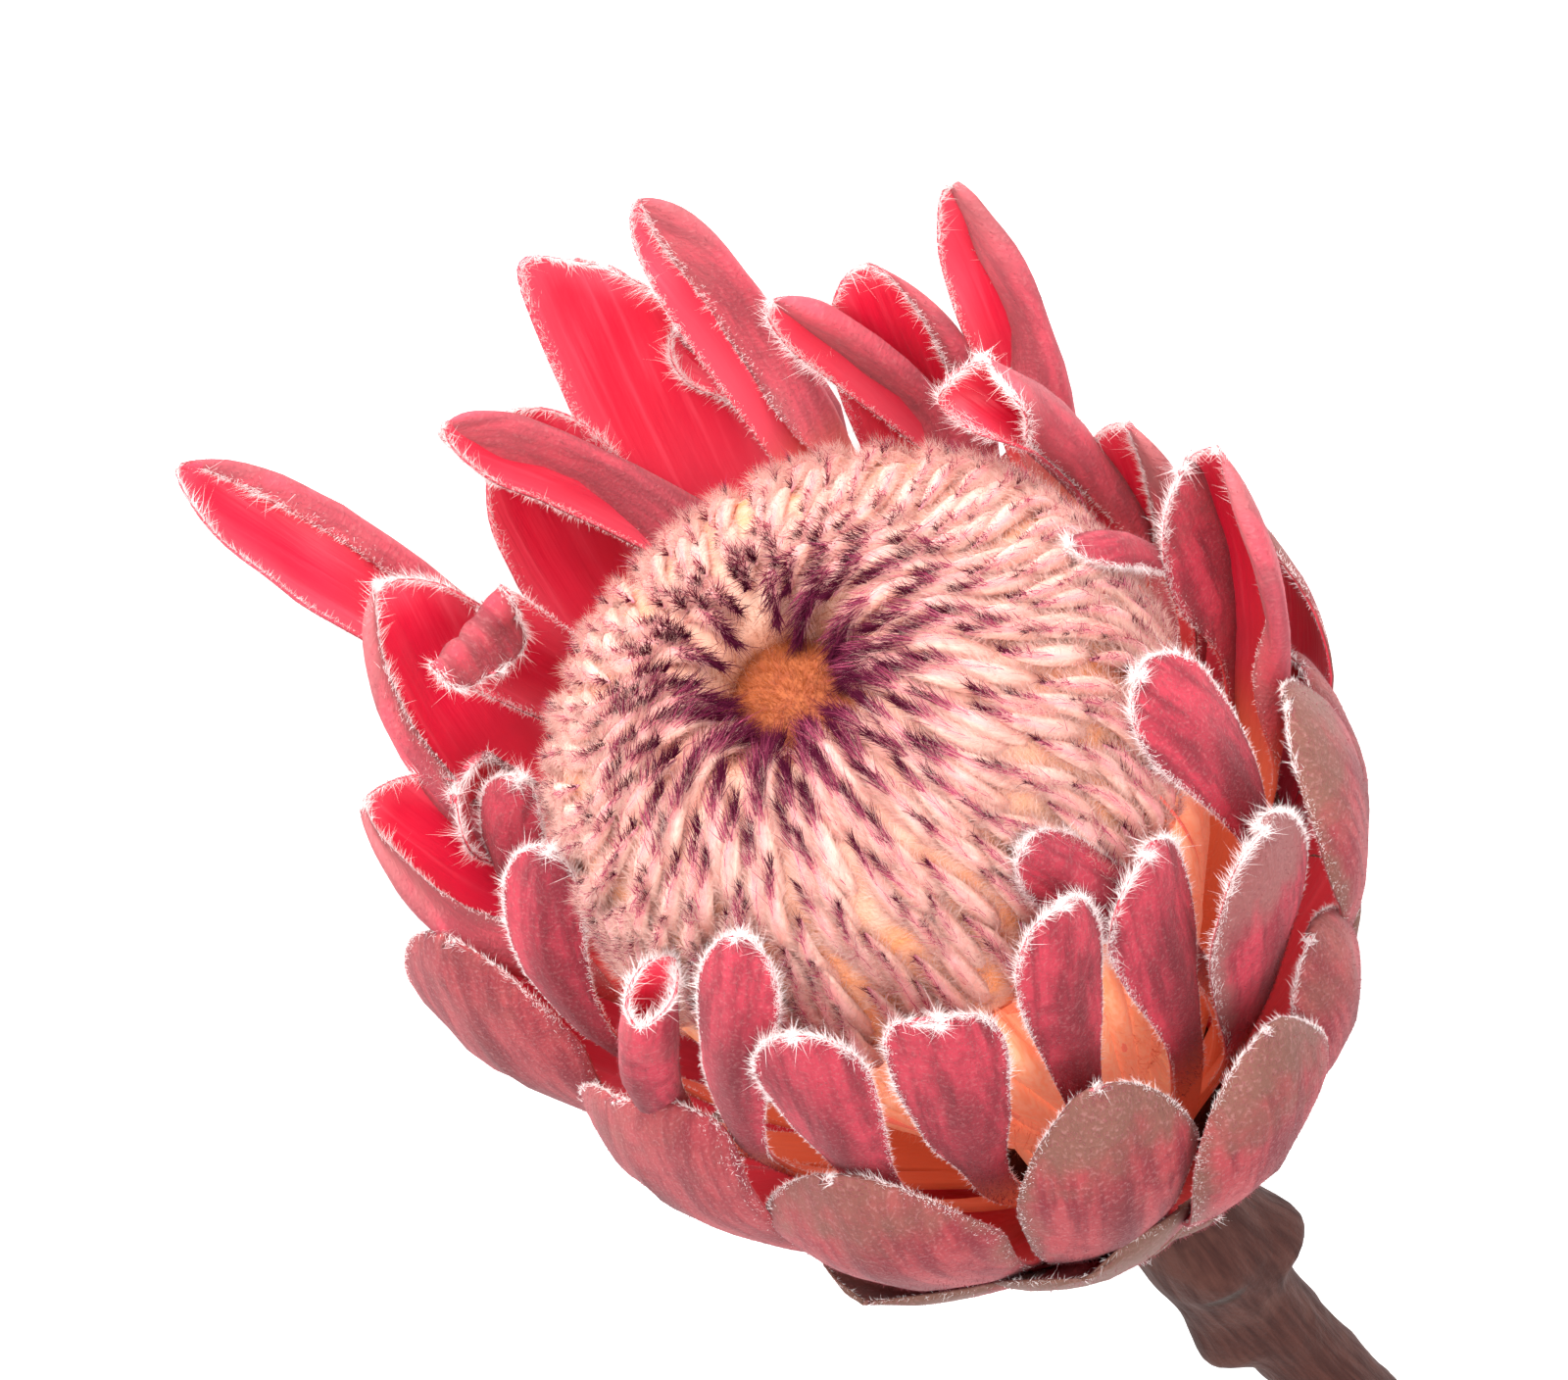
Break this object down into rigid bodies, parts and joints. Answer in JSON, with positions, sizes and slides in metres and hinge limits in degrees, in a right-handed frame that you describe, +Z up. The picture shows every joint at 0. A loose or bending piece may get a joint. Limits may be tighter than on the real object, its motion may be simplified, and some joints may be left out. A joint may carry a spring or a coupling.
{
  "type": "protea flower",
  "caption": "Cut protea bloom on a short woody stem, lying on its side, with broad velvety outer bracts, slim red inner bracts and a woolly dome of florets round a central pit.",
  "frame": {"origin": "on the surface that the flower lies on, under the middle of its bounding box", "axes": "+X along the flower's length, from the cut end of the stem to the open face of the bloom; +Z up from the surface; +Y to the left of the bloom seen from the stem"},
  "size_m": [0.2316, 0.0782, 0.0723],
  "materials": {
    "outer_bract": "velvety dusty rose skin with crimson-grey mottling, red and smooth inside",
    "inner_bract": "fine short velvet outside, smooth hot red inside, white wool on the tip edges",
    "floret_tube": "satin orange, streaked lengthwise",
    "floret_plume": "silky cream to pale pink hairs with dark purple tufts round the pit",
    "stem_bark": "matt reddish-brown bark with leaf scars, pale pith at the cut end"
  },
  "bodies": {
    "root": {"outer_bracts": "outer_bract", "inner_bracts": "inner_bract", "floret_tubes": "floret_tube", "floret_plumes": "floret_plume", "stem": "stem_bark"}
  },
  "joints": []
}
